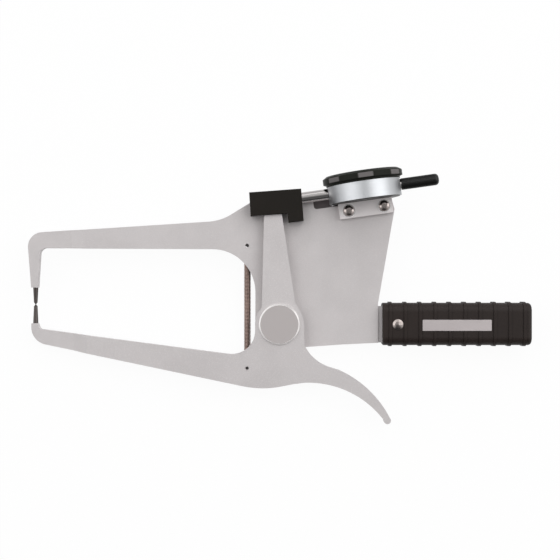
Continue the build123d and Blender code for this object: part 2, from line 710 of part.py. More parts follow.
def spindle():
    body = rod(0, 0, SPINDLE_RADIUS, SPINDLE_START, SPINDLE_END)
    body = along_x(chamfer(body.edges().group_by(Axis.Z)[-1], 0.4))
    first = -ARBOR_X - 2.5 * RACK_PITCH
    last = first + RACK_TEETH * RACK_PITCH
    tips = RACK_LINE + RACK_ADDENDUM
    body -= block(first, last, -4, -tips, -4, 4)
    for i in range(RACK_TEETH):
        x = first + (i + 0.5) * RACK_PITCH
        gap = outline((x - 0.36, -tips - 0.2), (x - 0.16, -RACK_LINE + RACK_DEDENDUM),
                      (x + 0.16, -RACK_LINE + RACK_DEDENDUM), (x + 0.36, -tips - 0.2))
        body -= slab(gap, -4, 4)
    body -= along_x(rod(0, 0, 1.02, SPINDLE_START - 1, SPINDLE_START + 4))
    body -= Pos(GUIDE_PIN_AT, 0, 0) * Rot(-90, 0, 0) * rod(0, 0, GUIDE_PIN_RADIUS + 0.02, -1.2, 4)
    return on_gauge(body)


def spindle_contact():
    """The ball-ended contact that screws into the spindle and rests on the lever's anvil."""
    shape = turned([
        (0, SPINDLE_TIP), (1.25, SPINDLE_TIP + 0.35, "arc"), (1.8, SPINDLE_TIP + 1.6),
        (1.8, SPINDLE_TIP + 3.2), (2.3, SPINDLE_START - 0.02), (1.0, SPINDLE_START - 0.02),
        (1.0, SPINDLE_START + 3.5), (0, SPINDLE_START + 3.5),
    ])
    return on_gauge(along_x(shape))


def guide_pin():
    pin = Rot(-90, 0, 0) * rod(0, 0, GUIDE_PIN_RADIUS, -1.0, 8.8)
    return on_gauge(Pos(GUIDE_PIN_AT, 0, 0) * pin)


def spindle_spring():
    """The pull spring that feeds the spindle outward, as a tube with a ring at each end."""
    start = PULL_POST_AT + 1.8
    end = GUIDE_PIN_AT - 1.8
    spring = along_x(ring(1.2, 0.85, start, end), 0, PULL_SPRING_Y, 0)
    spring += Pos(PULL_POST_AT, PULL_SPRING_Y, 0) * ring(1.4, 0.76, -0.25, 0.25)
    spring += block(PULL_POST_AT + 1.2, start + 0.3, PULL_SPRING_Y - 1, PULL_SPRING_Y + 1, -0.25, 0.25)
    eye = Rot(-90, 0, 0) * ring(1.4, GUIDE_PIN_RADIUS + 0.06, -0.25, 0.25)
    spring += Pos(GUIDE_PIN_AT, PULL_SPRING_Y, 0) * eye
    spring += block(end - 0.3, GUIDE_PIN_AT - 1.2, PULL_SPRING_Y - 0.25, PULL_SPRING_Y + 0.25, -1, 1)
    return on_gauge(spring)


def lever_anvil():
    """The hard button in the lever's head that the spindle's contact rests on."""
    face = ANVIL_REACH - GAUGE_REACH
    button = rod(0, 0, 2.5, face - 0.35, face) + rod(0, 0, 1.5, face - 4.8, face - 0.35)
    return on_gauge(along_x(button))


def bezel_ring():
    """The turning ring: a plain skirt, a band with grip flats, a bevelled top, and the seats inside."""
    body = turned([
        (CRYSTAL_LEDGE, BEZEL_BOTTOM), (SKIRT_RADIUS, BEZEL_BOTTOM), (SKIRT_RADIUS, SKIRT_TOP),
        (BEZEL_RADIUS, LOBE_BOTTOM), (BEZEL_RADIUS, LOBE_TOP), (BEZEL_TOP_RADIUS, BEZEL_TOP),
        (CRYSTAL_LEDGE, BEZEL_TOP),
    ])
    flat = block(FLAT_REACH, 32, -8, 8, LOBE_BOTTOM, BEZEL_TOP + 1)
    for i in range(BEZEL_FLATS):
        body -= Rot(0, 0, FIRST_FLAT + 360 * i / BEZEL_FLATS) * flat
    body -= rod(0, 0, CASE_RIM_RADIUS + RUNNING_FIT, 0, DIAL_LOW + DIAL_THICK)
    return on_gauge(body - rod(0, 0, CRYSTAL_RADIUS + RUNNING_FIT, CRYSTAL_LOW, 20))


def dial_ring():
    return on_gauge(ring(CASE_RIM_RADIUS, DIAL_SPLIT_RADIUS + 0.2, DIAL_LOW, DIAL_LOW + DIAL_THICK))


def crystal():
    return on_gauge(rod(0, 0, CRYSTAL_RADIUS, CRYSTAL_LOW, CRYSTAL_LOW + CRYSTAL_THICK))


NODES = {
    "frame_plate": frame_plate,
    "handle_front_scale": lambda: grip_half(True),
    "handle_rear_scale": lambda: grip_half(False),
    "handle_screw": grip_screw,
    "handle_nut": grip_nut,
    "nameplate": nameplate,
    "fixed_contact_tip": lambda: contact_tip(FIXED_JAW_END, 1),
    "pivot_shaft": pivot_shaft,
    "pivot_retainer": pivot_retainer,
    "thrust_washer": thrust_washer,
    "spring_pin_upper": lambda: spring_pin(SPRING_UPPER_PIN_Y, 0.6, FRAME_THICK - PIN_SINK),
    "return_spring": return_spring,
    "spindle_cover": spindle_cover,
    "cover_screws": cover_screws,
    "gauge_case": gauge_case,
    "gauge_back": gauge_back,
    "gauge_lug": gauge_lug,
    "back_screws": back_screws,
    "flange_screws": flange_screws,
    "lug_screws": lug_screws,
    "lug_washers": lug_washers,
    "gauge_stem": gauge_stem,
    "rear_bush": rear_bush,
    "rear_dust_cap": rear_dust_cap,
    "movement_plate": movement_plate,
    "movement_bridge": movement_bridge,
    "inner_dial": inner_dial,
    "spindle_spring": spindle_spring,
    "hairspring": hairspring,
    "lever_casting": lever_casting,
    "pivot_bush": pivot_bush,
    "pivot_cap": pivot_cap,
    "moving_contact_tip": lambda: contact_tip(MOVING_JAW_END, -1),
    "spring_pin_lower": lambda: spring_pin(SPRING_LOWER_PIN_Y, 1.0, LEVER_TOP - PIN_SINK),
    "lever_anvil": lever_anvil,
    "spindle": spindle,
    "spindle_contact": spindle_contact,
    "guide_pin": guide_pin,
    "rack_wheel": rack_wheel,
    "main_pointer": main_pointer,
    "takeup_wheel": takeup_wheel,
    "bezel_ring": bezel_ring,
    "dial_ring": dial_ring,
    "crystal": crystal,
}

for name, make in NODES.items():
    export_step(make(), f"parts/{name}.step")
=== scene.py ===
import json
from math import cos, pi, radians, sin

import bpy
from mathutils import Matrix, Vector

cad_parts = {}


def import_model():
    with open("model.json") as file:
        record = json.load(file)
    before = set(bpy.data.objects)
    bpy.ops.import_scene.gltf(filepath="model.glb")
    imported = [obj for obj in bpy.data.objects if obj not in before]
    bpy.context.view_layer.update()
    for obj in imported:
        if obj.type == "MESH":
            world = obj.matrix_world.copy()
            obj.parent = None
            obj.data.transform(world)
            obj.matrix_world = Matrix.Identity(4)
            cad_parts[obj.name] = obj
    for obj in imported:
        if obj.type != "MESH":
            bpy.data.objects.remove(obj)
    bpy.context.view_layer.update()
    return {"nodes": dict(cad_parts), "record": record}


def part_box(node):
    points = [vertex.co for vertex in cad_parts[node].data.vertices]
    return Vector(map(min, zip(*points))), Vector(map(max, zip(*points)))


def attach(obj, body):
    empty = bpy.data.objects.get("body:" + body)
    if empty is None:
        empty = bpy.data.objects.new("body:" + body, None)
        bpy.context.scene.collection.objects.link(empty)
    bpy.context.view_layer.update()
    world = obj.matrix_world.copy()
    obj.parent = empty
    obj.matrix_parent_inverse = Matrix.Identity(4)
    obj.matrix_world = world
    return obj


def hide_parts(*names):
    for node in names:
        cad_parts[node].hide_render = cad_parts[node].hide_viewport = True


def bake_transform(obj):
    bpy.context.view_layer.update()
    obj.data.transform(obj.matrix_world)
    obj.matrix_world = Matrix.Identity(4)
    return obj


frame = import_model()
nodes = frame["nodes"]

MM = 0.001

# The photograph: millimetres to a pixel at the front face of the castings, and where the camera stood
PHOTO_PIXELS = 560
PHOTO_SCALE = 0.71
PHOTO_PLANE = 8.0
CAMERA_DISTANCE = 900.0
CAMERA_X = 0.49
CAMERA_Y = 31.26
SENSOR_WIDTH = 36.0
CLIP_NEAR = 0.05
CLIP_FAR = 20.0

# The dial gauge, as in the CAD: x along the stem, z along the dial normal, y toward the back
GAUGE_TILT = radians(8.0)
GAUGE_CENTRE = Vector((60.0, 95.35, 11.1))
DIAL_TOP = 9.1
OUTER_DIAL_EDGE = 23.8
COUNTER_AT = (-10.4404, -3.6193)
TAKEUP_AT = (10.4404, 3.6193)

# The zero of the dial points toward the jaws, which is the top of the dial to someone holding the grip
READING_TURN = pi

# Print on the two dials: the lengths and widths are those of a long mark and of a short one
INK_LIFT = 0.02
LONG_TICK_EVERY = 5
DIAL_DIVISIONS = 100
DIAL_TICK_LENGTHS = (2.6, 1.5)
DIAL_TICK_WIDTHS = (0.24, 0.16)
DIAL_NUMBERS = 10
DIAL_NUMBER_STEP = 20
DIAL_NUMBER_SIZE = 2.6
DIAL_NUMBER_RADIUS = 19.1
COUNTER_DIVISIONS = 20
COUNTER_EDGE = 4.6
COUNTER_TICK_LENGTHS = (0.9, 0.6)
COUNTER_TICK_WIDTHS = (0.18, 0.12)
COUNTER_NUMBERS = 4
COUNTER_NUMBER_STEP = 5
COUNTER_NUMBER_SIZE = 1.3
COUNTER_NUMBER_RADIUS = 5.4

# The return spring, as in the CAD
SPRING_X = -22.75
SPRING_UPPER_Y = 55.8
SPRING_LOWER_Y = -31.0
SPRING_Z = 3.0
SPRING_COIL = 2.07
SPRING_WIRE = 0.43
SPRING_HOOK = 3.6
SPRING_TURNS = 82
SPRING_TURN_STEPS = 14
SPRING_PIN = 1.0
SPRING_PIN_GAP = 0.1
SPRING_LOOP_SHARE = 0.8
SPRING_LOOP_STEPS = 16

# The hairspring on the take-up wheel
HAIRSPRING_INNER = 0.75
HAIRSPRING_GROWTH = 3.3
HAIRSPRING_HEIGHT = 5.9
HAIRSPRING_WIRE = 0.07
HAIRSPRING_TURNS = 5
HAIRSPRING_TURN_STEPS = 40

# The pull spring in the case: places along the gauge's x of its straight ends and of the coil between them
PULL_TAIL = (-19.4, -17.4)
PULL_START = -16.7
PULL_END = 14.2
PULL_HEAD = (14.9, 15.1)
PULL_Y = 4.2
PULL_COIL = 1.0
PULL_WIRE = 0.16
PULL_TURNS = 40
PULL_TURN_STEPS = 12

# Patches of another colour, in the gauge's axes: painted shade in the casting's pocket under the stem, and
# the bezel's grip flats; each soft edge is given by where it begins and where it ends
POCKET_ALONG = ((-37.3, -36.9), (-18.5, -18.0))
POCKET_UP = ((-9.1, -9.0), (1.0, 1.5))
POCKET_MOUTH = (4.2, 4.35)
FLAT_RADIUS = (27.85, 28.12)
FLAT_UP = ((6.6, 7.1), (9.8, 10.35))

# The pivot cap's grey face ends and its bright edge begins at this radius
CAP_FACE_RADIUS = 13.35

# Rounding of the nodes' sharp edges: the width and the number of segments
SOFT_ANGLE = radians(35)
SOFT_EDGES = {
    "frame_plate": (0.55, 3),
    "lever_casting": (0.55, 3),
    "spindle_cover": (0.35, 2),
    "gauge_lug": (0.35, 2),
    "handle_front_scale": (0.3, 2),
    "handle_rear_scale": (0.3, 2),
}

# The floor: the grip's resting point above the bottom of its box, the y of the jaw's, the gap left under the
# object's lowest point, half the floor's width in metres, and the share of it that is white by itself
GRIP_LIFT = 1.0
JAW_REST_Y = -6.0
FLOOR_GAP = 0.2
FLOOR_HALF = 3.0
FLOOR_WHITE_SHARE = 0.95

# The room, by direction: a span of a direction, and the light at its start and at its end
WORLD_LEVEL = 0.33
ROOM_UP = (-1.0, 1.0, 0.15 * WORLD_LEVEL, 1.85 * WORLD_LEVEL)
GLOW_UP = (-0.85, -0.3, 0.10, 1.0)
GLOW_SIDEWAYS = (0.1, 0.7, 0.72, 1.05)
GLOW_AWAY = (0.1, 0.65, 0.2, 1.0)
GLOW_DARK_SPOT = (0, -0.33, 0.94)

# The lamps, in metres and watts: name, place, width and height, power
LAMP_TARGET = (0, 0.03, 0)
LAMPS = (
    ("key", (0.80, 0.50, 0.95), (1.7, 1.3), 11.0),
    ("fill", (-0.7, 0.25, 0.9), (1.2, 1.1), 5.2),
    ("top", (-0.1, 1.0, 0.55), (1.2, 0.5), 1.6),
)

# Colours
STEEL = (0.74, 0.73, 0.72)
CASTING = (0.572, 0.542, 0.542)
CASTING_FLECK = (0.80, 0.77, 0.77)
# Painted shade: the dark grey laid in the casting's pocket under the stem, where the stem and gauge shade it
POCKET_PAINTED_SHADE = (0.14, 0.12, 0.12)
BEZEL_BLACK = (0.012, 0.013, 0.010)
BEZEL_FLAT_GREY = (0.15, 0.14, 0.14)
CAP_FACE_GREY = (0.46, 0.425, 0.42)
CAP_EDGE_BRIGHT = (0.90, 0.88, 0.87)

# Grain: height in millimetres, cells to a metre, and the span of noise that makes a fleck with its cover
GRAIN_HEIGHT = 0.2
BROAD_CELLS = 45.0
FLECK_CELLS = 2600.0
FLECK_COVER = (0.52, 0.70, 0.0, 0.42)


def gauge_matrix():
    """Millimetres in the gauge's own axes to metres in the row frame."""
    along = Vector((cos(GAUGE_TILT), sin(GAUGE_TILT), 0))
    normal = Vector((-sin(GAUGE_TILT), cos(GAUGE_TILT), 0))
    back = normal.cross(along)
    turn = Matrix((along, back, normal)).transposed().to_4x4()
    return Matrix.Translation(GAUGE_CENTRE * MM) @ turn @ Matrix.Scale(MM, 4)


GAUGE = gauge_matrix()
ROW = Matrix.Scale(MM, 4)


# Shader nodes

def new_material(name):
    material = bpy.data.materials.new(name)
    material.use_nodes = True
    tree = material.node_tree
    return material, tree, tree.nodes["Principled BSDF"]


def add(tree, kind, **settings):
    node = tree.nodes.new(kind)
    for key, value in settings.items():
        setattr(node, key, value)
    return node


def noise(tree, scale, detail=3.0, grain=(1, 1, 1), on_gauge=False):
    """Noise in the row's axes or the gauge's: scale is in cells to a metre, and grain draws the cells out."""
    place = add(tree, "ShaderNodeTexCoord")
    mapping = add(tree, "ShaderNodeMapping", vector_type="TEXTURE")
    mapping.inputs["Scale"].default_value = grain
    if on_gauge:
        mapping.inputs["Rotation"].default_value = GAUGE.to_euler()
    texture = add(tree, "ShaderNodeTexNoise")
    texture.inputs["Scale"].default_value = scale
    texture.inputs["Detail"].default_value = detail
    tree.links.new(place.outputs["Object"], mapping.inputs["Vector"])
    tree.links.new(mapping.outputs["Vector"], texture.inputs["Vector"])
    return texture.outputs["Fac"]


def spread(tree, factor, low, high):
    """A colour between low and high by a noise factor, with the contrast of the noise stretched."""
    ramp = add(tree, "ShaderNodeValToRGB")
    ramp.color_ramp.elements[0].position = 0.35
    ramp.color_ramp.elements[1].position = 0.65
    ramp.color_ramp.elements[0].color = (*low, 1)
    ramp.color_ramp.elements[1].color = (*high, 1)
    tree.links.new(factor, ramp.inputs["Fac"])
    return ramp.outputs["Color"]


def bump(tree, shader, height, strength):
    node = add(tree, "ShaderNodeBump")
    node.inputs["Strength"].default_value = strength
    node.inputs["Distance"].default_value = GRAIN_HEIGHT * MM
    tree.links.new(height, node.inputs["Height"])
    tree.links.new(node.outputs["Normal"], shader.inputs["Normal"])


def rough_between(tree, shader, factor, low, high):
    span = add(tree, "ShaderNodeMapRange")
    span.inputs["To Min"].default_value = low
    span.inputs["To Max"].default_value = high
    tree.links.new(factor, span.inputs["Value"])
    tree.links.new(span.outputs["Result"], shader.inputs["Roughness"])


def ranged(tree, value, from_low, from_high, to_low, to_high):
    """A value carried smoothly from one span to another."""
    span = add(tree, "ShaderNodeMapRange", interpolation_type="SMOOTHSTEP")
    span.inputs["From Min"].default_value = from_low
    span.inputs["From Max"].default_value = from_high
    span.inputs["To Min"].default_value = to_low
    span.inputs["To Max"].default_value = to_high
    tree.links.new(value, span.inputs["Value"])
    return span.outputs["Result"]


def combined(tree, operation, *values):
    """Values joined two by two with one operation."""
    total = values[0]
    for value in values[1:]:
        node = add(tree, "ShaderNodeMath", operation=operation)
        tree.links.new(total, node.inputs[0])
        tree.links.new(value, node.inputs[1])
        total = node.outputs["Value"]
    return total


def rising(tree, value, edge):
    """0 before a soft edge and 1 past it; the edge is in millimetres."""
    return ranged(tree, value, edge[0] * MM, edge[1] * MM, 0.0, 1.0)


def falling(tree, value, edge):
    """1 before a soft edge and 0 past it; the edge is in millimetres."""
    return ranged(tree, value, edge[0] * MM, edge[1] * MM, 1.0, 0.0)


def between(tree, value, edges):
    """1 between two soft edges and 0 outside them."""
    return combined(tree, "MULTIPLY", rising(tree, value, edges[0]), falling(tree, value, edges[1]))


def gauge_place(tree):
    """The shaded point in the gauge's own axes, in metres, whole and split into x, y and z."""
    place = add(tree, "ShaderNodeTexCoord")
    turn = add(tree, "ShaderNodeMapping", vector_type="TEXTURE")
    turn.inputs["Location"].default_value = GAUGE_CENTRE * MM
    turn.inputs["Rotation"].default_value = GAUGE.to_euler()
    tree.links.new(place.outputs["Object"], turn.inputs["Vector"])
    split = add(tree, "ShaderNodeSeparateXYZ")
    tree.links.new(turn.outputs["Vector"], split.inputs["Vector"])
    return turn.outputs["Vector"], split.outputs


def from_axis(tree, point):
    """How far a point is from the z axis."""
    flat = add(tree, "ShaderNodeVectorMath", operation="MULTIPLY")
    flat.inputs[1].default_value = (1, 1, 0)
    radius = add(tree, "ShaderNodeVectorMath", operation="LENGTH")
    tree.links.new(point, flat.inputs[0])
    tree.links.new(flat.outputs["Vector"], radius.inputs[0])
    return radius.outputs["Value"]


def recolour(tree, shader, factor, colour):
    """Lay another colour over the shader's own where the factor is 1."""
    mix = add(tree, "ShaderNodeMix", data_type="RGBA")
    mix.inputs[7].default_value = (*colour, 1)
    tree.links.new(factor, mix.inputs["Factor"])
    tree.links.new(shader.inputs["Base Color"].links[0].from_socket, mix.inputs[6])
    tree.links.new(mix.outputs[2], shader.inputs["Base Color"])


# Finishes

def shaded(colour, amount):
    return tuple(c * amount for c in colour)


def surface(name, colour, roughness, metallic, vary, cells, dent, shine=0.5, **lay):
    """A worked surface: its colour, gloss and height all vary a little with a fine grain."""
    material, tree, shader = new_material(name)
    fine = noise(tree, cells, 4.0, **lay)
    broad = noise(tree, BROAD_CELLS, 2.0)
    shades = spread(tree, broad, shaded(colour, 1 - vary), shaded(colour, 1 + vary * 0.6))
    tree.links.new(shades, shader.inputs["Base Color"])
    rough_between(tree, shader, fine, roughness * 0.85, roughness * 1.15)
    bump(tree, shader, fine, dent)
    shader.inputs["Metallic"].default_value = metallic
    shader.inputs["Specular IOR Level"].default_value = shine
    return material


def painted_casting():
    """Silver-grey paint with fine light flecks over a sand-cast surface, and painted shade in the pocket
    under the stem.
    """
    material = surface("casting_paint", CASTING, 0.42, 0.0, 0.035, 1400.0, 0.22, 0.3)
    tree = material.node_tree
    shader = tree.nodes["Principled BSDF"]
    flecks = ranged(tree, noise(tree, FLECK_CELLS, 2.0), *FLECK_COVER)
    recolour(tree, shader, flecks, CASTING_FLECK)
    # Painted shade: the pocket under the stem is darkened to stand for the shadow of the stem and gauge above
    # it
    at = gauge_place(tree)[1]
    along = between(tree, at["X"], POCKET_ALONG)
    up = between(tree, at["Z"], POCKET_UP)
    behind = rising(tree, at["Y"], POCKET_MOUTH)
    recolour(tree, shader, combined(tree, "MULTIPLY", along, up, behind), POCKET_PAINTED_SHADE)
    return material


def cap_finish():
    """The pivot cap's grey face, with its turned edge left bright."""
    material, tree, shader = new_material("cap_finish")
    place = add(tree, "ShaderNodeTexCoord")
    edge = add(tree, "ShaderNodeMath", operation="GREATER_THAN")
    edge.inputs[1].default_value = CAP_FACE_RADIUS * MM
    tree.links.new(from_axis(tree, place.outputs["Object"]), edge.inputs[0])
    mix = add(tree, "ShaderNodeMix", data_type="RGBA")
    mix.inputs[6].default_value = (*CAP_FACE_GREY, 1)
    mix.inputs[7].default_value = (*CAP_EDGE_BRIGHT, 1)
    tree.links.new(edge.outputs["Value"], mix.inputs["Factor"])
    tree.links.new(mix.outputs[2], shader.inputs["Base Color"])
    tree.links.new(edge.outputs["Value"], shader.inputs["Metallic"])
    rough_between(tree, shader, edge.outputs["Value"], 0.45, 0.36)
    bump(tree, shader, noise(tree, 1400.0), 0.06)
    return material


def bezel_finish():
    """Black moulding whose grip flats are a lighter, matt grey."""
    material = surface("bezel_black", BEZEL_BLACK, 0.44, 0.0, 0.08, 2400.0, 0.12, 0.08)
    tree = material.node_tree
    point, at = gauge_place(tree)
    inside = falling(tree, from_axis(tree, point), FLAT_RADIUS)
    band = combined(tree, "MULTIPLY", inside, between(tree, at["Z"], FLAT_UP))
    recolour(tree, tree.nodes["Principled BSDF"], band, BEZEL_FLAT_GREY)
    return material


def crystal_finish():
    """The clear crystal over the dial; its plain roughness is for a reader that leaves the noise out."""
    material, tree, shader = new_material("clear_crystal")
    shader.inputs["Base Color"].default_value = (0.98, 0.99, 0.99, 1)
    shader.inputs["Roughness"].default_value = 0.03
    shader.inputs["Transmission Weight"].default_value = 1.0
    shader.inputs["IOR"].default_value = 1.2
    rough_between(tree, shader, noise(tree, 60.0), 0.01, 0.05)
    return material


# After each colour: roughness, metal, change of shade, cells of grain to a metre, depth of grain, shine
finish = {
    "casting": painted_casting(),
    "grip": surface("grip_plastic", (0.021, 0.0145, 0.0125), 0.50, 0.0, 0.12, 2600.0, 0.25, 0.2),
    "black_cover": surface("cover_black", (0.009, 0.007, 0.005), 0.48, 0.0, 0.12, 2200.0, 0.15, 0.15),
    "black_cap": surface("cap_black", (0.006, 0.006, 0.006), 0.34, 0.0, 0.10, 1800.0, 0.06, 0.25),
    "black_back": surface("back_black", (0.02, 0.02, 0.02), 0.45, 0.0, 0.08, 1800.0, 0.10),
    "bezel": bezel_finish(),
    "bright_steel": surface("bright_steel", STEEL, 0.25, 1.0, 0.04, 900.0, 0.03),
    "cap_silver": cap_finish(),
    "bare_plate": surface(
        "bare_plate", (0.50, 0.455, 0.455), 0.38, 0.25, 0.05, 700.0, 0.12, grain=(6, 0.25, 0.25)
    ),
    "dark_tip": surface("dark_tip", (0.07, 0.061, 0.058), 0.30, 0.9, 0.15, 1500.0, 0.08),
    "spring_steel": surface("spring_wire", (0.35, 0.26, 0.23), 0.34, 1.0, 0.12, 1600.0, 0.05),
    "satin_case": surface(
        "satin_case", (0.46, 0.47, 0.485), 0.43, 1.0, 0.03, 900.0, 0.45, grain=(8, 8, 0.5), on_gauge=True
    ),
    "lug_grey": surface("lug_grey", (0.83, 0.785, 0.785), 0.40, 0.1, 0.04, 1200.0, 0.08),
    "brass": surface("brass_plate", (0.72, 0.53, 0.24), 0.30, 1.0, 0.06, 1000.0, 0.05),
    "dial_white": surface("dial_white", (0.86, 0.86, 0.83), 0.55, 0.0, 0.02, 1500.0, 0.02),
    "pointer_black": surface("pointer_black", (0.015, 0.015, 0.015), 0.40, 0.0, 0.08, 1500.0, 0.03),
    "clear": crystal_finish(),
}
ink = surface("dial_ink", (0.02, 0.02, 0.02), 0.50, 0.0, 0.10, 1500.0, 0.02)
stem_steel = surface(
    "stem_steel", (0.46, 0.44, 0.435), 0.15, 1.0, 0.05, 700.0, 0.12, grain=(8, 0.5, 0.5), on_gauge=True
)
screw_steel = surface("screw_steel", (0.34, 0.30, 0.285), 0.19, 1.0, 0.06, 900.0, 0.05)
# Painted shade: the spring pins' ends are near-black, standing for the shade in the holes they sit deep in
pin_painted_shade = surface("pin_painted_shade", (0.05, 0.045, 0.045), 0.50, 0.6, 0.10, 1500.0, 0.05)

# Nodes whose steel is finished in its own way; the spring pins' near-black steel is painted shade
own_finish = {
    "gauge_stem": stem_steel,
    "rear_bush": stem_steel,
    "lug_screws": screw_steel,
    "handle_screw": screw_steel,
    "spring_pin_upper": pin_painted_shade,
    "spring_pin_lower": pin_painted_shade,
}


def dress_nodes():
    """Give every CAD node the finish of its slot, or its own."""
    for part in frame["record"]["subparts"]:
        material = own_finish.get(part["node"], finish[part["material_slot"]])
        mesh = nodes[part["node"]].data
        mesh.materials.clear()
        mesh.materials.append(material)


def soften_edges():
    """Round the nodes' sharp edges a little, as paint, moulding or a file leaves them."""
    for name, (width, segments) in SOFT_EDGES.items():
        bevel = nodes[name].modifiers.new("soft_edges", "BEVEL")
        bevel.width = width * MM
        bevel.segments = segments
        bevel.limit_method = "ANGLE"
        bevel.angle_limit = SOFT_ANGLE
        bevel.harden_normals = True


# Pieces made here

def placed(name, data):
    """A new object of a mesh, lamp or camera, in the scene."""
    made = bpy.data.objects.new(name, data)
    bpy.context.collection.objects.link(made)
    return made


def piece(name, verts, faces, slot, body, matrix=ROW, material=None, smooth=True):
    """A new piece of the object, from points in millimetres; without a body it is left to be blended."""
    mesh = bpy.data.meshes.new(name)
    mesh.from_pydata([tuple(matrix @ Vector(v)) for v in verts], [], faces)
    mesh.materials.append(material or finish[slot])
    mesh.polygons.foreach_set("use_smooth", [smooth] * len(mesh.polygons))
    mesh.update()
    made = placed(name, mesh)
    if body:
        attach(made, body)
    return made


def tube(path, radius, sides):
    """Points and faces of a round wire that follows a path of vectors."""
    verts = []
    faces = []
    side = Vector((0, 0, 1))
    for i, point in enumerate(path):
        ahead = path[min(i + 1, len(path) - 1)] - path[max(i - 1, 0)]
        ahead.normalize()
        side = (side - ahead * side.dot(ahead)).normalized()
        other = ahead.cross(side)
        for k in range(sides):
            angle = 2 * pi * k / sides
            verts.append(point + radius * (cos(angle) * side + sin(angle) * other))
    for i in range(len(path) - 1):
        for k in range(sides):
            after = (k + 1) % sides
            faces.append((i * sides + k, i * sides + after, (i + 1) * sides + after, (i + 1) * sides + k))
    faces.append(tuple(range(sides))[::-1])
    faces.append(tuple(range((len(path) - 1) * sides, len(path) * sides)))
    return verts, faces


def loop_points(centre_y, first, last):
    """Points of the return spring's wire round one of its pins, from one angle to another."""
    radius = SPRING_PIN + SPRING_WIRE + SPRING_PIN_GAP
    path = []
    for i in range(SPRING_LOOP_STEPS + 1):
        angle = first + (last - first) * i / SPRING_LOOP_STEPS
        path.append(Vector((SPRING_X + radius * cos(angle), centre_y + radius * sin(angle), SPRING_Z)))
    return path


def spring_path():
    """One wire: a loop round the upper pin, close turns down the throat, and a loop round the lower pin."""
    sweep = 2 * pi * SPRING_LOOP_SHARE
    path = loop_points(SPRING_UPPER_Y, sweep - pi / 2, -pi / 2)
    top = SPRING_UPPER_Y - SPRING_HOOK
    bottom = SPRING_LOWER_Y + SPRING_HOOK
    points = SPRING_TURNS * SPRING_TURN_STEPS
    for i in range(points + 1):
        angle = 2 * pi * SPRING_TURNS * i / points
        y = top + (bottom - top) * i / points
        path.append(Vector((SPRING_X + SPRING_COIL * sin(angle), y, SPRING_Z + SPRING_COIL * cos(angle))))
    path += loop_points(SPRING_LOWER_Y, pi / 2, pi / 2 + sweep)
    return path


def return_spring():
    """The long spring in the throat, stretched as the jaw opens."""
    verts, faces = tube(spring_path(), SPRING_WIRE, 8)
    coil = piece("return_spring_coil", verts, faces, "spring_steel", None)
    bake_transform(coil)
    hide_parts("return_spring")


def hairspring():
    """A flat spiral in place of the CAD's ring."""
    points = HAIRSPRING_TURNS * HAIRSPRING_TURN_STEPS
    path = []
    for i in range(points + 1):
        radius = HAIRSPRING_INNER + HAIRSPRING_GROWTH * i / points
        angle = 2 * pi * HAIRSPRING_TURNS * i / points
        x = TAKEUP_AT[0] + radius * cos(angle)
        y = TAKEUP_AT[1] + radius * sin(angle)
        path.append(Vector((x, y, HAIRSPRING_HEIGHT)))
    verts, faces = tube(path, HAIRSPRING_WIRE, 6)
    coil = piece("hairspring_spiral", verts, faces, "spring_steel", "frame", GAUGE)
    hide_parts("hairspring")


def pull_spring():
    """The pull spring inside the case, from its post on the movement plate to the spindle's guide pin."""
    points = PULL_TURNS * PULL_TURN_STEPS
    path = [Vector((x, PULL_Y, 0)) for x in PULL_TAIL]
    for i in range(points + 1):
        angle = 2 * pi * PULL_TURNS * i / points
        x = PULL_START + (PULL_END - PULL_START) * i / points
        path.append(Vector((x, PULL_Y + PULL_COIL * cos(angle), PULL_COIL * sin(angle))))
    path += [Vector((x, PULL_Y, 0)) for x in PULL_HEAD]
    verts, faces = tube(path, PULL_WIRE, 6)
    coil = piece("spindle_spring_coil", verts, faces, "spring_steel", None, GAUGE)
    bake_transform(coil)
    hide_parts("spindle_spring")


# Marks on the dial

def ticks(name, radius_out, count, lengths, widths, body, centre=(0, 0)):
    """Flat printed marks round a circle, clockwise from its zero."""
    verts = []
    faces = []
    base = Vector((centre[0], centre[1], DIAL_TOP + INK_LIFT))
    for i in range(count):
        kind = 0 if i % LONG_TICK_EVERY == 0 else 1
        angle = READING_TURN - 2 * pi * i / count
        out = Vector((cos(angle), sin(angle), 0))
        side = Vector((-sin(angle), cos(angle), 0)) * widths[kind] / 2
        first = len(verts)
        for reach in (radius_out, radius_out - lengths[kind]):
            verts.append(base + out * reach + side)
            verts.append(base + out * reach - side)
        faces.append((first, first + 2, first + 3, first + 1))
    piece(name, verts, faces, "dial_white", body, GAUGE, ink, False)


def numeral(name, text, size, radius, angle, body, centre):
    """One printed number, standing upright as seen from the grip's side of the dial."""
    curve = bpy.data.curves.new(name, "FONT")
    curve.body = text
    curve.size = size
    curve.align_x = "CENTER"
    curve.align_y = "CENTER"
    words = bpy.data.objects.new(name, curve)
    mesh = bpy.data.meshes.new_from_object(words)
    bpy.data.objects.remove(words)
    x = centre[0] + radius * cos(angle)
    y = centre[1] + radius * sin(angle)
    spot = Matrix.Translation((x, y, DIAL_TOP + INK_LIFT))
    mesh.transform(GAUGE @ spot @ Matrix.Rotation(READING_TURN - pi / 2, 4, "Z"))
    mesh.materials.clear()
    mesh.materials.append(ink)
    made = placed(name, mesh)
    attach(made, body)


def numerals(name, count, step, size, radius, body, centre=(0, 0)):
    """The numbers of a dial, clockwise from its zero."""
    for i in range(count):
        angle = READING_TURN - 2 * pi * i / count
        numeral(f"{name}_{i}", str(i * step), size, radius, angle, body, centre)


